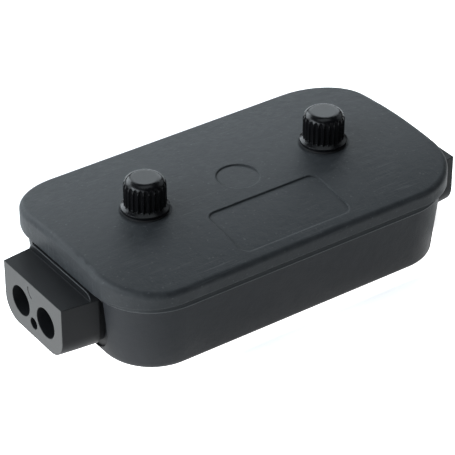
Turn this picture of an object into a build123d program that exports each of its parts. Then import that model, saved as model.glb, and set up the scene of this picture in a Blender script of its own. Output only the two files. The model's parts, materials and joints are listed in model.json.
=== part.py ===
"""Cable junction box for low-voltage wiring: a shallow tray, an arched lid held by two
thumb nuts, a rubber cable block in each end wall and a screw terminal strip inside.

Millimetres. X runs along the box, Z is up, and the origin is under the centre of the tray.
"""
from build123d import *
import os

# How far a cut runs past the surface that it opens
cut_margin = 1.0

# Lid
lid_length = 124.0
lid_width = 72.0
lid_corner_radius = 18.9
parting_gap = 1.9
lid_edge_lift = 1.8
lid_rise = 4.05
shoulder_radius = 1.9
skirt_wall = 2.0
lid_top_wall = 2.4
lid_rim_width = 7.0
nut_land_radius = 7.6
nut_land_depth = 0.2
gate_mark_radius = 6.6
gate_mark_y = -0.9
gate_mark_depth = 0.4
label_length = 39.3
label_width = 19.5
label_y = -21.9
label_corner_radius = 3.0
label_depth = 0.35

# Tray
tray_end_inset = 1.9
tray_side_inset = 1.0
tray_corner_radius = 18.4
tray_draft = 2.1
tray_wall = 2.8
tray_floor = 2.2
tray_foot_radius = 2.0
ledge_height = 21.7
rim_step = 3.5
rim_rebate = 1.3
fixing_hole_radius = 2.25
fixing_hole_spacing = 87.0
fixing_pad_radius = 5.0
fixing_pad_height = 1.4

# Gasket
gasket_thickness = 1.0

# Studs and their bosses
stud_spacing = 64.9
stud_radius = 2.5
stud_reach = 6.6
stud_tip_chamfer = 0.6
stud_foot = 4.0
stud_fit = 0.02
boss_radius = 4.6
boss_height = 21.4
boss_rib_thickness = 1.6
boss_rib_reach = 8.0
boss_rib_height = 12.0
boss_rib_toe = 1.0
lid_tube_radius = 5.0
lid_hole_radius = 2.9
tube_gap = 0.4

# Thumb nuts
nut_flange_radius = 7.25
nut_flange_edge = 0.8
nut_flange_rise = 0.8
nut_body_radius = 6.35
nut_height = 10.3
nut_dome_radius = 2.7
nut_flute_count = 24
nut_flute_radius = 0.7
nut_flute_depth = 0.55
insert_radius = 4.0
insert_length = 6.4
insert_fit = 0.02
thread_clearance = 0.08
stud_end_gap = 0.8
washer_radius = 7.0
washer_thickness = 0.8
washer_clearance = 0.3

# Cable blocks
block_length = 11.9
block_face_half_width = 15.7
block_root_half_width = 17.1
block_bottom = 2.35
block_corner_radius = 6.8
collar_step = 2.3
collar_thickness = 2.65
collar_skirt_gap = 0.7
collar_corner_radius = 3.0
shoulder_skirt_gap = 0.3
pocket_side_gap = 2.1
pocket_foot_gap = 0.85
pocket_depth = 2.5
pocket_wall = 2.2
seat_step = 0.5
neck_step = 1.7
neck_clearance = 0.05
lip_thickness = 2.4
lip_half_width = 17.0
lip_clearance = 0.1
cable_hole_radius = 4.84
cable_hole_spacing = 13.58
cable_hole_height = 11.37
wire_hole_radius = 1.88
wire_hole_height = 7.2
mark_drop = 2.3
mark_offset = 0.47
mark_radius = 2.87
mark_width = 0.4
mark_depth = 0.4
mark_start = 168.0
mark_end = 249.0

# Terminal strip
way_count = 8
way_pitch = 6.4
strip_width = 18.0
strip_base_height = 3.2
strip_height = 11.0
strip_end = 1.6
barrier_thickness = 1.2
strip_rail_height = 1.0
strip_rail_width = 6.0
strip_lug_radius = 3.0
strip_lug_reach = 2.4
strip_lug_way = 2
barrel_length = 15.0
barrel_width = 4.8
barrel_height = 5.6
barrel_hole_radius = 1.7
barrel_hole_lift = 0.7
clamp_screw_spacing = 9.4
clamp_screw_radius = 1.3
clamp_head_radius = 1.75
clamp_head_height = 1.3
clamp_head_lift = 0.6
clamp_point_reach = 0.5
screw_fit = 0.02
slot_width = 0.5
slot_depth = 0.6
strip_screw_radius = 1.4
strip_screw_head_radius = 2.2
strip_screw_head_height = 1.2

# Sizes that follow from the ones above
tray_length = lid_length - 2 * tray_end_inset
tray_width = lid_width - 2 * tray_side_inset
rim_height = ledge_height + rim_step
seat_height = rim_height + gasket_thickness
skirt_bottom = ledge_height + parting_gap
lid_edge_height = seat_height + lid_edge_lift
lid_top = lid_edge_height + lid_rise
nut_land = lid_top - nut_land_depth
nut_seat = nut_land + washer_thickness
stud_top = nut_seat + stud_reach
block_shoulder = lid_length / 2 - skirt_wall - shoulder_skirt_gap
block_face = block_shoulder + block_length
collar_top = skirt_bottom - collar_skirt_gap
block_top = collar_top - collar_step
mark_height = block_top - mark_drop
pocket_floor = tray_length / 2 - pocket_depth
pocket_inner_face = pocket_floor - pocket_wall
pocket_half_width = block_root_half_width + pocket_side_gap
pocket_back_half_width = pocket_half_width + pocket_wall
lip_inner_face = pocket_inner_face - lip_clearance - lip_thickness
strip_length = way_count * way_pitch + 2 * strip_end
strip_floor = tray_floor + strip_rail_height
barrel_floor = strip_floor + strip_base_height
wire_height = barrel_floor + barrel_hole_lift + barrel_hole_radius
lug_x = strip_lug_way * way_pitch
lug_y = strip_width / 2 + strip_lug_reach


def slab(length, width, radius, low, high):
    """A plate with rounded corners between two heights."""
    return extrude(Plane.XY.offset(low) * RectangleRounded(length, width, radius), high - low)


def cylinder(radius, low, high, x=0.0, y=0.0):
    """An upright cylinder between two heights."""
    return extrude(Plane.XY.offset(low) * Pos(x, y) * Circle(radius), high - low)


def both_ends(shape):
    """A shape at the right end of the box together with its mirror image at the left end."""
    return shape + mirror(shape, Plane.YZ)


def lid_prism(inset, low, high):
    """The lid's plan outline, moved in by inset, between two heights."""
    return slab(lid_length - 2 * inset, lid_width - 2 * inset, lid_corner_radius - inset, low, high)


def under_arch(drop):
    """Everything below the lid's arched top surface, lowered by drop."""
    half = lid_width / 2
    edge = lid_edge_height - drop
    section = Polyline((-half, edge), (-half, 0), (half, 0), (half, edge))
    section += ThreePointArc((half, edge), (0, edge + lid_rise), (-half, edge))
    return extrude(Plane.YZ * make_face(section), lid_length / 2, both=True)


def tray_outline(inset, height):
    """The tray's outline at a height, moved in by inset and by the draft there."""
    move = inset + tray_draft * (1 - height / ledge_height)
    shape = RectangleRounded(tray_length - 2 * move, tray_width - 2 * move, tray_corner_radius - move)
    return Plane.XY.offset(height) * shape


def tray_prism(inset, low, high):
    """The tray's plan outline at its ledge, moved in by inset, between two heights."""
    return slab(tray_length - 2 * inset, tray_width - 2 * inset, tray_corner_radius - inset, low, high)


def end_profile(x, half_width, bottom, top, low_radius, high_radius=0.0):
    """A section across X: round lower corners, and square or round upper ones."""
    shape = Rectangle(2 * half_width, top - bottom)
    shape = fillet(shape.vertices().group_by(Axis.Y)[0], low_radius)
    if high_radius:
        shape = fillet(shape.vertices().group_by(Axis.Y)[-1], high_radius)
    return Plane.YZ.offset(x) * Pos(0, (top + bottom) / 2) * shape


def block_slice(low_x, high_x, step, top):
    """A slice of a cable block's root section, moved in all round by step."""
    profile = end_profile(
        low_x,
        block_root_half_width - step,
        block_bottom + step,
        top,
        block_corner_radius - step,
    )
    return extrude(profile, high_x - low_x)


def pockets():
    """The recesses round the cable blocks in the tray's end walls."""
    profile = end_profile(
        pocket_floor,
        pocket_half_width,
        block_bottom - pocket_foot_gap,
        seat_height,
        block_corner_radius + pocket_foot_gap,
    )
    return both_ends(extrude(profile, pocket_depth + cut_margin))


def pocket_backs():
    """The blocks of wall that stand into the tray behind the pockets."""
    depth = tray_length / 2 - pocket_inner_face
    middle = pocket_inner_face + depth / 2
    return both_ends(Pos(middle, 0, seat_height / 2) * Box(depth, 2 * pocket_back_half_width, seat_height))


def tray():
    """The tray: drafted walls, a stepped rim, block pockets, stud bosses and fixing holes."""
    body = loft([tray_outline(0, 0), tray_outline(0, ledge_height)], ruled=True)
    body = fillet(body.edges().group_by(Axis.Z)[0], tray_foot_radius)
    body += tray_prism(rim_rebate, ledge_height, rim_height)
    room = loft([tray_outline(tray_wall, tray_floor), tray_outline(tray_wall, ledge_height)], ruled=True)
    room += tray_prism(tray_wall, ledge_height, rim_height)
    body -= room - pocket_backs()
    body -= pockets()
    body -= both_ends(block_slice(lip_inner_face, block_shoulder, neck_step, seat_height))
    for side in (-1, 1):
        boss_x = side * stud_spacing / 2
        body += cylinder(boss_radius, tray_floor / 2, boss_height, boss_x)
        for rib_y in (-1, 1):
            body += boss_rib(boss_x, rib_y)
        body -= cylinder(stud_radius + stud_fit, stud_foot, boss_height, boss_x)
        pad_x = side * fixing_hole_spacing / 2
        body += cylinder(fixing_pad_radius, tray_floor / 2, tray_floor + fixing_pad_height, pad_x)
        body -= cylinder(fixing_hole_radius, 0, tray_floor + fixing_pad_height, pad_x)
        rail = Rectangle(strip_rail_width, 2 * (lug_y + strip_lug_radius))
        body += extrude(Pos(side * lug_x, 0, tray_floor / 2) * rail, strip_floor - tray_floor / 2)
        body -= cylinder(strip_screw_radius + screw_fit, tray_floor / 2, strip_floor, side * lug_x, side * lug_y)
    return body


def boss_rib(boss_x, direction):
    """A sloping rib that stiffens a stud boss across the box."""
    foot = boss_radius + boss_rib_reach
    start = boss_radius * 0.5
    profile = Polyline(
        (start, tray_floor / 2),
        (foot, tray_floor / 2),
        (foot, tray_floor + boss_rib_toe),
        (boss_radius, boss_rib_height),
        (start, boss_rib_height),
        close=True,
    )
    rib = extrude(Plane.YZ * make_face(profile), boss_rib_thickness / 2, both=True)
    if direction < 0:
        rib = mirror(rib, Plane.XZ)
    return Pos(boss_x, 0, 0) * rib


def lid():
    """The lid: arched top, hollow underside, tubes round the studs and two shallow recesses."""
    above = lid_top + cut_margin
    body = lid_prism(0, skirt_bottom, above) & under_arch(0)
    body = fillet(body.faces().sort_by(Axis.Z)[-1].edges(), shoulder_radius)
    body -= lid_prism(skirt_wall, skirt_bottom, seat_height)
    body -= lid_prism(lid_rim_width, seat_height, above) & under_arch(lid_top_wall)
    for side in (-1, 1):
        x = side * stud_spacing / 2
        body += cylinder(lid_tube_radius, boss_height + tube_gap, lid_top - lid_top_wall / 2, x)
        body -= cylinder(lid_hole_radius, boss_height + tube_gap, above, x)
        body -= cylinder(nut_land_radius, nut_land, above, x)
    body -= cylinder(gate_mark_radius, lid_top - gate_mark_depth, above, 0, gate_mark_y)
    label = Pos(0, label_y, 0) * slab(label_length, label_width, label_corner_radius, skirt_bottom, above)
    body -= label - under_arch(label_depth)
    return body


def lid_gasket():
    """A flat seal on the tray's rim, which steps in over the two cable blocks."""
    ring = tray_prism(rim_rebate, rim_height, seat_height) - pockets()
    return ring - (tray_prism(tray_wall, rim_height, seat_height) - pocket_backs())


def stud(side):
    """A threaded stud set in its boss, with a chamfered tip."""
    body = cylinder(stud_radius, stud_foot, stud_top, side * stud_spacing / 2)
    return chamfer(body.edges().group_by(Axis.Z)[-1], stud_tip_chamfer)


def knob(side):
    """A thumb nut: flutes that run out in its domed top, and a sloping base flange."""
    edge_top = nut_seat + nut_flange_edge
    body = cylinder(nut_body_radius, nut_seat, nut_seat + nut_height)
    body = fillet(body.edges().group_by(Axis.Z)[-1], nut_dome_radius)
    flute_x = nut_body_radius + nut_flute_radius - nut_flute_depth
    flute = cylinder(nut_flute_radius, edge_top, nut_seat + nut_height, flute_x)
    for step in range(nut_flute_count):
        body -= Rot(0, 0, 360 * step / nut_flute_count) * flute
    body += cylinder(nut_flange_radius, nut_seat, edge_top)
    slope = Cone(nut_flange_radius, nut_body_radius - nut_flute_depth, nut_flange_rise)
    body += Pos(0, 0, edge_top + nut_flange_rise / 2) * slope
    body -= cylinder(insert_radius + insert_fit, nut_seat, nut_seat + insert_length)
    body -= cylinder(stud_radius + thread_clearance, nut_seat, stud_top + stud_end_gap)
    return Pos(side * stud_spacing / 2, 0, 0) * body


def knob_insert(side):
    """The brass threaded bush moulded into a thumb nut."""
    body = cylinder(insert_radius, nut_seat, nut_seat + insert_length)
    body -= cylinder(stud_radius + thread_clearance, nut_seat, nut_seat + insert_length)
    return Pos(side * stud_spacing / 2, 0, 0) * body


def knob_washer(side):
    """A thin rubber washer between a thumb nut and the lid."""
    body = cylinder(washer_radius, nut_land, nut_seat)
    body -= cylinder(stud_radius + washer_clearance, nut_land, nut_seat)
    return Pos(side * stud_spacing / 2, 0, 0) * body


def nose(top, high_radius=0.0):
    """The tapered part of a cable block that stands outside the box, up to a given height."""
    root = (block_shoulder, block_root_half_width)
    face = (block_face, block_face_half_width)
    profiles = [
        end_profile(x, half_width, block_bottom, top, block_corner_radius, high_radius)
        for x, half_width in (root, face)
    ]
    return loft(profiles, ruled=True)


def cable_block(side):
    """A rubber cable entry: nose, collar, seat in the pocket, neck in the wall and inner lip."""
    body = nose(block_top)
    band = Box(collar_thickness, 2 * block_root_half_width, collar_top)
    band = Pos(block_shoulder + collar_thickness / 2, 0, collar_top / 2) * band
    body += nose(collar_top, collar_corner_radius) & band
    body += block_slice(pocket_floor, block_shoulder, seat_step, collar_top)
    body += block_slice(lip_inner_face, pocket_floor, neck_step + neck_clearance, rim_height)
    lip = end_profile(
        lip_inner_face,
        lip_half_width,
        tray_floor + lip_clearance,
        rim_height,
        block_corner_radius - neck_step,
    )
    body += extrude(lip, lip_thickness)
    for y in (-cable_hole_spacing / 2, cable_hole_spacing / 2):
        body -= bore_along_x(cable_hole_radius, y, cable_hole_height)
    body -= bore_along_x(wire_hole_radius, 0, wire_hole_height)
    arc = CenterArc((mark_offset, mark_height), mark_radius, mark_start, mark_end - mark_start)
    body -= extrude(Plane.YZ.offset(block_face - mark_depth) * trace(arc, mark_width), mark_depth)
    return Rot(0, 0, 180) * body if side < 0 else body


def bore_along_x(radius, y, height):
    """A hole through a whole cable block."""
    circle = Plane.YZ.offset(lip_inner_face) * Pos(y, height) * Circle(radius)
    return extrude(circle, block_face - lip_inner_face)


def way_x(way):
    """The middle of a terminal way, counted from 0 at the left."""
    return (way - (way_count - 1) / 2) * way_pitch


def terminal_strip():
    """The insulating base: a plate with a barrier wall each side of every way."""
    body = Pos(0, 0, strip_floor + strip_base_height / 2) * Box(strip_length, strip_width, strip_base_height)
    barrier = Box(barrier_thickness, strip_width, strip_height)
    for gap in range(way_count + 1):
        body += Pos(way_x(gap) - way_pitch / 2, 0, strip_floor + strip_height / 2) * barrier
    for side in (-1, 1):
        lug = SlotCenterToCenter(2 * strip_lug_reach + 2 * strip_lug_radius, 2 * strip_lug_radius, rotation=90)
        place = Pos(side * lug_x, side * (lug_y - strip_lug_reach - strip_lug_radius), strip_floor)
        body += extrude(place * lug, strip_base_height)
        body -= cylinder(strip_screw_radius + screw_fit, strip_floor, barrel_floor, side * lug_x, side * lug_y)
    return body


def terminal_barrel(way):
    """A brass bar with a wire hole from each end and two tapped clamp holes."""
    bar = Pos(way_x(way), 0, barrel_floor + barrel_height / 2) * Box(barrel_width, barrel_length, barrel_height)
    wire = Plane.XZ * Pos(way_x(way), wire_height) * Circle(barrel_hole_radius)
    bar -= extrude(wire, barrel_length / 2, both=True)
    for y in (-clamp_screw_spacing / 2, clamp_screw_spacing / 2):
        bar -= cylinder(
            clamp_screw_radius + screw_fit,
            wire_height,
            barrel_floor + barrel_height,
            way_x(way),
            y,
        )
    return bar


def slotted_screw(radius, head_radius, head_height, low, seat):
    """A cheese-head screw on the Z axis, its head's underside at seat."""
    body = cylinder(radius, low, seat) + cylinder(head_radius, seat, seat + head_height)
    slot = Pos(0, 0, seat + head_height - slot_depth / 2) * Box(slot_width, 2 * head_radius, slot_depth)
    return body - slot


def clamp_screw(way, side):
    """The screw that holds a wire in a terminal way."""
    low = wire_height + barrel_hole_radius - clamp_point_reach
    seat = barrel_floor + barrel_height + clamp_head_lift
    screw = slotted_screw(clamp_screw_radius, clamp_head_radius, clamp_head_height, low, seat)
    return Pos(way_x(way), side * clamp_screw_spacing / 2, 0) * screw


def strip_screw(side):
    """A screw that holds the terminal strip to the tray."""
    screw = slotted_screw(
        strip_screw_radius,
        strip_screw_head_radius,
        strip_screw_head_height,
        tray_floor / 2,
        barrel_floor,
    )
    return Pos(side * lug_x, side * lug_y, 0) * screw


parts = {"tray": tray(), "lid": lid(), "lid_gasket": lid_gasket(), "terminal_strip": terminal_strip()}
for name, side in (("left", -1), ("right", 1)):
    parts["stud_" + name] = stud(side)
    parts["knob_" + name] = knob(side)
    parts["knob_insert_" + name] = knob_insert(side)
    parts["knob_washer_" + name] = knob_washer(side)
    parts["cable_block_" + name] = cable_block(side)
    parts["strip_screw_" + name] = strip_screw(side)
for way in range(way_count):
    parts[f"terminal_barrel_{way + 1}"] = terminal_barrel(way)
    parts[f"clamp_screw_front_{way + 1}"] = clamp_screw(way, -1)
    parts[f"clamp_screw_back_{way + 1}"] = clamp_screw(way, 1)

os.makedirs("parts", exist_ok=True)
for name, solid in parts.items():
    export_step(solid, f"parts/{name}.step")
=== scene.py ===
"""The looks of the cable junction box: finishes, light and camera around the fixed frame."""
import json
import math

import bpy
from mathutils import Matrix, Vector


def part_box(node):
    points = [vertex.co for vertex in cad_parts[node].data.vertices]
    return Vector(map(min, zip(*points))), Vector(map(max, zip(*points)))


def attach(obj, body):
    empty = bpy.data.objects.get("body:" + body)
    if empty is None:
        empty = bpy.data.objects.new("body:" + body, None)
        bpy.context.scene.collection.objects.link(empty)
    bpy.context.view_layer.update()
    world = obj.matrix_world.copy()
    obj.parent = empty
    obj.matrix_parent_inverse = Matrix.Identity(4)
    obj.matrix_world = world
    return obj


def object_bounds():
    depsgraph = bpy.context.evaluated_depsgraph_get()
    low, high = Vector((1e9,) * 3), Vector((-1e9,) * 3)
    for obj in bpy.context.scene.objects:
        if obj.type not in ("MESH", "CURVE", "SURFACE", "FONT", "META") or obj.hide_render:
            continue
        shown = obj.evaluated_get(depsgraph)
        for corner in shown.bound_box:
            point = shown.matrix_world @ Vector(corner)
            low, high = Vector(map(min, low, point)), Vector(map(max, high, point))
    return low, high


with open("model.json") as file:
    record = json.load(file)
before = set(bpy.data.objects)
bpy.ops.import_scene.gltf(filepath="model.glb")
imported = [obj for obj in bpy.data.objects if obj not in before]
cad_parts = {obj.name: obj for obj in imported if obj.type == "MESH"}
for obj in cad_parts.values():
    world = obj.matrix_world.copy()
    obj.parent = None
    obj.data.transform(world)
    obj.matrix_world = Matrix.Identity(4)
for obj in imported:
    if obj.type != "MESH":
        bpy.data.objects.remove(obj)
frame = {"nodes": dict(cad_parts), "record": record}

cad_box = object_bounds()
MM = 0.001
WHITE = (1, 1, 1, 1)

# The camera, as fitted to the photograph's outline
IMAGE_SIZE = 455
CAMERA_AZIMUTH = -35.22
CAMERA_ELEVATION = 33.58
CAMERA_DISTANCE = 0.7087
CAMERA_FOCAL_PIXELS = 2344.6
CAMERA_TARGET_HEIGHT = 0.0124
CAMERA_SLIDE_RIGHT = -0.00259
CAMERA_SLIDE_UP = 0.00057
CAMERA_CLIP_START = 0.01
SENSOR_WIDTH = 36.0

# The part of a noise pattern's range that runs from one end of a finish to the other
PATTERN_RANGE = (0.3, 0.7)

# Detail and roughness of the noise in a moulded surface's clouds and grain, and in a metal's turned marks
CLOUD_NOISE = (4.0, 0.62)
GRAIN_NOISE = (2.0, 0.6)
TURNED_NOISE = (3.0, 0.7)
TURNED_DEPTH = 0.01 * MM

# Soft edges: the samples of their rounding, and its cosine to the flat face from no painted edge highlight
# to full highlight
EDGE_SAMPLES = 6
EDGE_HIGHLIGHT_COSINES = (0.99, 0.85)

# Scratches and specks: noise scales, the part of each noise that shows, and the scratches' turns in radians
SCRATCH_PATCHES = 45.0
SCRATCH_PATCH_RANGE = (0.46, 0.7)
SCRATCH_TURNS = (0.35, 1.0, -0.8)
SCRATCH_STRETCH = (70.0, 2200.0, 70.0)
SCRATCH_RANGE = (0.68, 0.82)
SPECKS = 1300.0
SPECK_RANGE = (0.74, 0.84)

# The cable blocks' rubber: dark and light of its skin, the paler dark and light painted on its end faces as
# painted light, and the colour of a painted highlight on the collars' upper edges
BLOCK_SKIN = ((0.0044, 0.0046, 0.0052), (0.006, 0.0063, 0.007))
BLOCK_FACE_PAINTED_LIGHT = ((0.034, 0.0333, 0.0325), (0.045, 0.0443, 0.0435))
BLOCK_EDGE_HIGHLIGHT = (0.07, 0.072, 0.075, 1)
BLOCK_CLOUDS = (260.0, 4.0, 0.6)
BLOCK_GRAIN = (1500.0, 2.0, 0.6)
BLOCK_GRAIN_DEPTH = 0.012 * MM
BLOCK_EDGE = 0.4 * MM
BLOCK_ROUGHNESS = (0.45, 0.55)
BLOCK_SPECULAR = 0.11
PAINTED_LIGHT_FACE_DEPTH = 0.05 * MM

# The blocks' collars lie within this reach, and their edges carry a painted highlight above this height
COLLAR_REACH = 62.7 * MM
COLLAR_HIGHLIGHT_HEIGHT = 21.05 * MM

# The tray's rim under the lid's skirt: points round its section, out from the tray's sides and up, in mm
RIM_SECTION = (
    (-1.2, 21.1), (-0.1, 21.1), (0.14, 21.25), (0.22, 21.45), (0.18, 21.65), (0.02, 21.85),
    (-0.08, 22.0), (-0.08, 23.45), (-1.2, 23.45),
)
RIM_CORNER_RADIUS = 18.4 * MM
RIM_CORNER_STEPS = 12
POCKET_HALF_WIDTH = 19.3 * MM

# The floor, which lies just under the box so that the two don't share a plane
FLOOR_REACH = 6.0
FLOOR_DROP = 0.02 * MM
FLOOR_COLOURS = ((0.96, 0.955, 0.95), (0.97, 0.965, 0.96))
FLOOR_CLOUDS = 3.0
FLOOR_ROUGHNESS = 0.9

# The floor glows round the box, as a light table does: azimuth in degrees and strength of each lobe
FLOOR_GLOWS = ((-90, 1.4), (-60, 0.25), (90, 0.87), (0, 0.46), (45, 0.23))
GLOW_SHARPNESS = 5.0

# Distances from the middle, in metres, over which the lobes fade out and the white of the far floor comes in
GLOW_FADE = (0.2, 0.28)
FAR_GLOW = (0.7, 1.8)

# The extra glow along the tray's foot: its strength, and its width in metres
FOOT_GLOW = 1.0
FOOT_GLOW_WIDTH = 0.003

# The soft panels: azimuth and elevation in degrees, and power in watts
PANELS = {
    "left panel": (-95, 30, 20.5),
    "left back panel": (-125, 30, 6.5),
    "back panel": (-170, 30, 15.0),
    "right back panel": (140, 30, 8.0),
    "front left panel": (-60, 30, 6.4),
    "right panel": (90, 30, 2.2),
    "top panel": (0, 89, 3.8),
}
PANEL_DISTANCE = 1.3
PANEL_SIZE = (0.9, 0.7)
PANEL_COLOUR = (0.87, 0.95, 1.0)
PANEL_TARGET = (0, 0, 0.02)


def shader(name):
    """A new material with its node tree, its Principled shader and an object-space coordinate."""
    material = bpy.data.materials.new(name)
    material.use_nodes = True
    tree = material.node_tree
    principled = tree.nodes["Principled BSDF"]
    place = tree.nodes.new("ShaderNodeTexCoord").outputs["Object"]
    return material, tree, principled, place


def feed(tree, value, socket):
    """Links another node's output to a socket, or sets the socket to a number, vector or colour."""
    if isinstance(value, bpy.types.NodeSocket):
        tree.links.new(value, socket)
    elif value is not None:
        socket.default_value = value


def calculate(tree, operation, first, second=None):
    """A Math node on sockets or numbers."""
    node = tree.nodes.new("ShaderNodeMath")
    node.operation = operation
    feed(tree, first, node.inputs[0])
    feed(tree, second, node.inputs[1])
    return node.outputs["Value"]


def calculate_vector(tree, operation, first, second=None, output="Vector"):
    """A Vector Math node on sockets or vectors; the output is Value where the result is a number."""
    node = tree.nodes.new("ShaderNodeVectorMath")
    node.operation = operation
    feed(tree, first, node.inputs[0])
    feed(tree, second, node.inputs[1])
    return node.outputs[output]


def remap(tree, value, source, target=(0.0, 1.0)):
    """The value's source range as the target range, held at the target's ends outside it."""
    node = tree.nodes.new("ShaderNodeMapRange")
    node.inputs["From Min"].default_value = source[0]
    node.inputs["From Max"].default_value = source[1]
    node.inputs["To Min"].default_value = target[0]
    node.inputs["To Max"].default_value = target[1]
    feed(tree, value, node.inputs["Value"])
    return node.outputs["Result"]


def noise(tree, place, scale, detail=3.0, roughness=0.5):
    """A noise pattern; scale is in features to the metre."""
    node = tree.nodes.new("ShaderNodeTexNoise")
    node.inputs["Scale"].default_value = scale
    node.inputs["Detail"].default_value = detail
    node.inputs["Roughness"].default_value = roughness
    feed(tree, place, node.inputs["Vector"])
    return node.outputs["Fac"]


def blend_colours(tree, pattern, dark, light):
    """A colour between two, by a noise pattern."""
    node = tree.nodes.new("ShaderNodeValToRGB")
    for element, position, colour in zip(node.color_ramp.elements, PATTERN_RANGE, (dark, light)):
        element.position = position
        element.color = (*colour, 1)
    feed(tree, pattern, node.inputs["Fac"])
    return node.outputs["Color"]


def mix_colours(tree, factor, first, second):
    """The first colour where the factor is 0 and the second where it is 1."""
    node = tree.nodes.new("ShaderNodeMix")
    node.data_type = "RGBA"
    feed(tree, factor, node.inputs["Factor"])
    feed(tree, first, node.inputs["A"])
    feed(tree, second, node.inputs["B"])
    return node.outputs["Result"]


def soft_edges(tree, radius):
    """A normal that rounds sharp edges; radius is in metres."""
    node = tree.nodes.new("ShaderNodeBevel")
    node.samples = EDGE_SAMPLES
    node.inputs["Radius"].default_value = radius
    return node.outputs["Normal"]


def painted_edge_highlight(tree, edges):
    """Where the soft edges are, as a value of 0 to 1, for a painted edge highlight."""
    surface = tree.nodes.new("ShaderNodeNewGeometry").outputs["Normal"]
    cosine = calculate_vector(tree, "DOT_PRODUCT", edges, surface, "Value")
    return remap(tree, cosine, EDGE_HIGHLIGHT_COSINES)


def bump(tree, height, depth, after=None):
    """A normal from a height pattern; depth is in metres."""
    node = tree.nodes.new("ShaderNodeBump")
    node.inputs["Strength"].default_value = 1.0
    node.inputs["Distance"].default_value = depth
    feed(tree, height, node.inputs["Height"])
    feed(tree, after, node.inputs["Normal"])
    return node.outputs["Normal"]


def scuffs(tree, place):
    """Faint hairline scratches in patches, and specks of dust, as a value of 0 to 1."""
    patches = remap(tree, noise(tree, place, SCRATCH_PATCHES), SCRATCH_PATCH_RANGE)
    total = remap(tree, noise(tree, place, SPECKS, 0.0), SPECK_RANGE)
    for turn in SCRATCH_TURNS:
        stretch = tree.nodes.new("ShaderNodeMapping")
        stretch.inputs["Rotation"].default_value = (0.0, 0.0, turn)
        stretch.inputs["Scale"].default_value = SCRATCH_STRETCH
        feed(tree, place, stretch.inputs["Vector"])
        lines = remap(tree, noise(tree, stretch.outputs["Vector"], 1.0, 0.0), SCRATCH_RANGE)
        total = calculate(tree, "MAXIMUM", total, calculate(tree, "MULTIPLY", lines, patches))
    return total


def mottled(name, dark, light, roughness, grain, mottle, edge, specular=0.5, scuffed=None):
    """A moulded surface: faint clouds of colour, gloss and height over a fine grain, with soft edges.

    grain and mottle are pairs of features to the metre and depth; edge is the radius of the soft edges;
    scuffed is the colour of the scratches and specks, where there are any."""
    material, tree, principled, place = shader(name)
    clouds = noise(tree, place, mottle[0], *CLOUD_NOISE)
    fine = noise(tree, place, grain[0], *GRAIN_NOISE)
    colour = blend_colours(tree, clouds, dark, light)
    if scuffed is not None:
        colour = mix_colours(tree, scuffs(tree, place), colour, (*scuffed, 1))
    feed(tree, colour, principled.inputs["Base Color"])
    feed(tree, remap(tree, clouds, PATTERN_RANGE, roughness), principled.inputs["Roughness"])
    rough = bump(tree, clouds, mottle[1], soft_edges(tree, edge))
    feed(tree, bump(tree, fine, grain[1], rough), principled.inputs["Normal"])
    principled.inputs["Specular IOR Level"].default_value = specular
    return material


def metal(name, dark, light, roughness, scale):
    """A machined metal with fine turned marks."""
    material, tree, principled, place = shader(name)
    marks = noise(tree, place, scale, *TURNED_NOISE)
    feed(tree, blend_colours(tree, marks, dark, light), principled.inputs["Base Color"])
    feed(tree, remap(tree, marks, PATTERN_RANGE, roughness), principled.inputs["Roughness"])
    feed(tree, bump(tree, marks, TURNED_DEPTH), principled.inputs["Normal"])
    principled.inputs["Metallic"].default_value = 1.0
    return material


def block_rubber():
    """The cable blocks' rubber: a dark moulded skin, end faces painted paler as painted light, and a painted
    highlight on the upper collar edges.
    """
    material, tree, principled, place = shader("block rubber")
    split = tree.nodes.new("ShaderNodeSeparateXYZ")
    feed(tree, place, split.inputs["Vector"])
    reach = calculate(tree, "ABSOLUTE", split.outputs["X"])
    # The end faces take paler colours of the same rubber: painted light.
    on_painted_light_face = calculate(tree, "GREATER_THAN", reach, cad_box[1][0] - PAINTED_LIGHT_FACE_DEPTH)
    clouds = noise(tree, place, *BLOCK_CLOUDS)
    skin = blend_colours(tree, clouds, *BLOCK_SKIN)
    colour = mix_colours(tree, on_painted_light_face, skin, blend_colours(tree, clouds, *BLOCK_FACE_PAINTED_LIGHT))
    edges = soft_edges(tree, BLOCK_EDGE)
    within_reach = calculate(tree, "LESS_THAN", reach, COLLAR_REACH)
    above_block = calculate(tree, "GREATER_THAN", split.outputs["Z"], COLLAR_HIGHLIGHT_HEIGHT)
    on_collar = calculate(tree, "MULTIPLY", within_reach, above_block)
    # A painted highlight along the collars' upper edges.
    collar_highlight = calculate(tree, "MULTIPLY", painted_edge_highlight(tree, edges), on_collar)
    feed(tree, mix_colours(tree, collar_highlight, colour, BLOCK_EDGE_HIGHLIGHT), principled.inputs["Base Color"])
    feed(tree, remap(tree, clouds, PATTERN_RANGE, BLOCK_ROUGHNESS), principled.inputs["Roughness"])
    grain = noise(tree, place, *BLOCK_GRAIN)
    feed(tree, bump(tree, grain, BLOCK_GRAIN_DEPTH, edges), principled.inputs["Normal"])
    principled.inputs["Specular IOR Level"].default_value = BLOCK_SPECULAR
    return material


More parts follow.
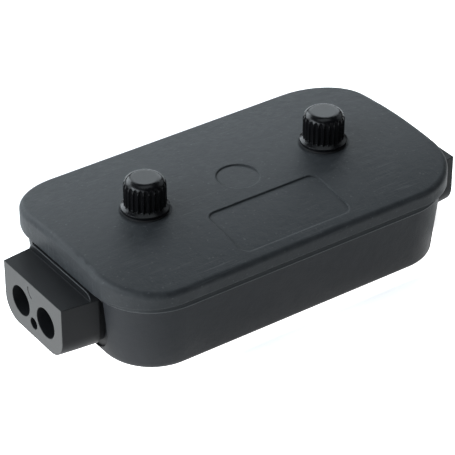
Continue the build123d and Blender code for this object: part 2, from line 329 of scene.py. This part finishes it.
FINISHES = {
    "box_plastic": mottled(
        "box plastic", dark=(0.0098, 0.0112, 0.013), light=(0.016, 0.0178, 0.0196), roughness=(0.5, 0.62),
        grain=(2600.0, 0.04 * MM), mottle=(380.0, 0.15 * MM), edge=0.75 * MM, specular=0.2,
        scuffed=(0.029, 0.031, 0.033),
    ),
    # The tray's copy of the box plastic, painted darker: painted shade.
    "tray_plastic_shaded": mottled(
        "tray plastic shaded", dark=(0.0076, 0.0086, 0.0104), light=(0.0106, 0.0116, 0.0134), roughness=(0.5, 0.6),
        grain=(2600.0, 0.04 * MM), mottle=(200.0, 0.15 * MM), edge=0.3 * MM, specular=0.16,
    ),
    # The rim's paler colour is painted light that lifts the shade under the lid's skirt.
    "rim_painted_light": mottled(
        "rim plastic painted lighter", dark=(0.019, 0.021, 0.023), light=(0.024, 0.026, 0.028), roughness=(0.48, 0.56),
        grain=(2600.0, 0.02 * MM), mottle=(380.0, 0.05 * MM), edge=0.2 * MM, specular=0.25,
    ),
    "nut_plastic": mottled(
        "nut plastic", dark=(0.002, 0.002, 0.0024), light=(0.003, 0.003, 0.0034), roughness=(0.2, 0.26),
        grain=(1800.0, 0.004 * MM), mottle=(500.0, 0.004 * MM), edge=0.2 * MM, specular=0.16,
    ),
    "block_rubber": block_rubber(),
    "seal_rubber": mottled(
        "seal rubber", dark=(0.006, 0.006, 0.0065), light=(0.008, 0.008, 0.0085), roughness=(0.6, 0.7),
        grain=(1500.0, 0.012 * MM), mottle=(300.0, 0.01 * MM), edge=0.2 * MM, specular=0.3,
    ),
    "strip_plastic": mottled(
        "strip plastic", dark=(0.55, 0.54, 0.5), light=(0.62, 0.61, 0.57), roughness=(0.4, 0.5),
        grain=(1800.0, 0.01 * MM), mottle=(200.0, 0.01 * MM), edge=0.15 * MM,
    ),
    "brass": metal(
        "brass", dark=(0.62, 0.42, 0.16), light=(0.78, 0.56, 0.25), roughness=(0.22, 0.34), scale=900.0,
    ),
    "steel": metal(
        "zinc plated steel", dark=(0.5, 0.5, 0.52), light=(0.66, 0.66, 0.68), roughness=(0.24, 0.36),
        scale=900.0,
    ),
}
SLOTS = {part["node"]: part["material_slot"] for part in frame["record"]["subparts"]}
for name, node in frame["nodes"].items():
    node.data.materials.clear()
    # The tray takes the darker copy of the box plastic: painted shade.
    node.data.materials.append(FINISHES["tray_plastic_shaded" if name == "tray" else SLOTS[name]])


def rounded_path(half_length, half_width, radius, start_y):
    """Points along the front half of a rounded rectangle, from the left end round to the right end."""
    points = [(-half_length, start_y)]
    centre_y = radius - half_width
    for centre_x, first in ((radius - half_length, 180), (half_length - radius, 270)):
        for step in range(RIM_CORNER_STEPS + 1):
            turn = math.radians(first + 90 * step / RIM_CORNER_STEPS)
            points.append((centre_x + radius * math.cos(turn), centre_y + radius * math.sin(turn)))
    return points + [(half_length, start_y)]


def add_rim(name, side):
    """A band and bead of the tray's rim under the lid's skirt: side is 1 for the front, -1 for the back."""
    half_length, half_width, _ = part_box("tray")[1]
    rows = []
    for out, height in RIM_SECTION:
        size = (half_length + out * MM, half_width + out * MM, RIM_CORNER_RADIUS + out * MM)
        path = rounded_path(*size, -POCKET_HALF_WIDTH)
        rows.append([(x, side * -y, height * MM) for x, y in path])
    count = len(rows[0])
    left_end = tuple(row * count for row in range(len(rows)))
    right_end = tuple(row * count + count - 1 for row in reversed(range(len(rows))))
    faces = []
    for row in range(len(rows)):
        other = (row + 1) % len(rows)
        for i in range(count - 1):
            faces.append((row * count + i, row * count + i + 1, other * count + i + 1, other * count + i))
    mesh = bpy.data.meshes.new(name)
    mesh.from_pydata([point for row in rows for point in row], [], faces + [left_end, right_end])
    # The rim takes the paler plastic: painted light in the shade under the skirt.
    mesh.materials.append(FINISHES["rim_painted_light"])
    for face in mesh.polygons[:len(faces)]:
        face.use_smooth = True
    rim = bpy.data.objects.new(name, mesh)
    bpy.context.scene.collection.objects.link(rim)
    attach(rim, "base")


def direction(azimuth, elevation=0.0):
    """The way towards an azimuth and elevation in degrees; azimuth 0 is in front of the box, at -Y."""
    az, el = math.radians(azimuth), math.radians(elevation)
    return Vector((math.sin(az) * math.cos(el), -math.cos(az) * math.cos(el), math.sin(el)))


def foot_glow(tree, place):
    """The extra light of the floor close to the tray, strongest along its foot."""
    half_length, half_width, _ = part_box("tray")[1]
    away = calculate_vector(tree, "ABSOLUTE", place)
    away = calculate_vector(tree, "SUBTRACT", away, (half_length, half_width, 0))
    away = calculate_vector(tree, "MAXIMUM", away, (0, 0, 0))
    gap = calculate_vector(tree, "LENGTH", away, output="Value")
    return remap(tree, gap, (0.0, FOOT_GLOW_WIDTH), (FOOT_GLOW, 0.0))


def glow_strength(tree, place):
    """The floor's own light: lobes fading out from the box, the foot's glow and the far floor's white."""
    ray = calculate_vector(tree, "NORMALIZE", place)
    lobes = 0.0
    for azimuth, strength in FLOOR_GLOWS:
        cosine = calculate_vector(tree, "DOT_PRODUCT", ray, direction(azimuth), "Value")
        lobe = calculate(tree, "POWER", calculate(tree, "MAXIMUM", cosine, 0.0), GLOW_SHARPNESS)
        lobes = calculate(tree, "ADD", calculate(tree, "MULTIPLY", lobe, strength), lobes)
    reach = calculate_vector(tree, "LENGTH", place, output="Value")
    fading = calculate(tree, "MULTIPLY", lobes, remap(tree, reach, GLOW_FADE, (1.0, 0.0)))
    near = calculate(tree, "ADD", fading, foot_glow(tree, place))
    return calculate(tree, "ADD", near, remap(tree, reach, FAR_GLOW))


def add_floor():
    """A plain pale floor under the box."""
    mesh = bpy.data.meshes.new("floor")
    corners = [(x * FLOOR_REACH, y * FLOOR_REACH, 0) for x, y in ((-1, -1), (1, -1), (1, 1), (-1, 1))]
    mesh.from_pydata(corners, [], [(0, 1, 2, 3)])
    floor = bpy.data.objects.new("floor", mesh)
    bpy.context.scene.collection.objects.link(floor)
    material, tree, principled, place = shader("floor")
    clouds = noise(tree, place, FLOOR_CLOUDS)
    feed(tree, blend_colours(tree, clouds, *FLOOR_COLOURS), principled.inputs["Base Color"])
    principled.inputs["Roughness"].default_value = FLOOR_ROUGHNESS
    principled.inputs["Specular IOR Level"].default_value = 0.0
    principled.inputs["Emission Color"].default_value = WHITE
    feed(tree, glow_strength(tree, place), principled.inputs["Emission Strength"])
    floor.data.materials.append(material)
    floor.location.z = -FLOOR_DROP


def aim(thing, eye, target):
    """Puts a light or a camera at eye, looking at target."""
    look = (Vector(target) - Vector(eye)).to_track_quat("-Z", "Y")
    thing.matrix_world = Matrix.Translation(eye) @ look.to_matrix().to_4x4()


def add_panel(name, azimuth, elevation, power):
    """A soft light that faces the box."""
    data = bpy.data.lights.new(name, "AREA")
    data.shape = "RECTANGLE"
    data.size, data.size_y = PANEL_SIZE
    data.energy = power
    data.color = PANEL_COLOUR
    panel = bpy.data.objects.new(name, data)
    bpy.context.scene.collection.objects.link(panel)
    aim(panel, direction(azimuth, elevation) * PANEL_DISTANCE, PANEL_TARGET)


def add_camera():
    """The camera at the photograph's angle, distance and framing."""
    back = direction(CAMERA_AZIMUTH, CAMERA_ELEVATION)
    right = direction(CAMERA_AZIMUTH + 90)
    up = back.cross(right)
    target = right * CAMERA_SLIDE_RIGHT + up * CAMERA_SLIDE_UP + Vector((0, 0, CAMERA_TARGET_HEIGHT))
    data = bpy.data.cameras.new("camera")
    data.sensor_width = SENSOR_WIDTH
    data.lens = CAMERA_FOCAL_PIXELS / IMAGE_SIZE * SENSOR_WIDTH
    data.clip_start = CAMERA_CLIP_START
    camera = bpy.data.objects.new("camera", data)
    bpy.context.scene.collection.objects.link(camera)
    aim(camera, target + back * CAMERA_DISTANCE, target)
    bpy.context.scene.camera = camera


def add_world():
    """A white surround that is seen but gives no light: the panels and the floor alone light the box."""
    world = bpy.data.worlds.new("surround")
    bpy.context.scene.world = world
    world.use_nodes = True
    background = world.node_tree.nodes["Background"]
    background.inputs["Color"].default_value = WHITE
    rays = world.node_tree.nodes.new("ShaderNodeLightPath")
    world.node_tree.links.new(rays.outputs["Is Camera Ray"], background.inputs["Strength"])


add_rim("rim_front", 1)
add_rim("rim_back", -1)
add_floor()
add_world()
for panel_name, (azimuth, elevation, power) in PANELS.items():
    add_panel(panel_name, azimuth, elevation, power)
add_camera()
bpy.context.scene.view_settings.view_transform = "Standard"
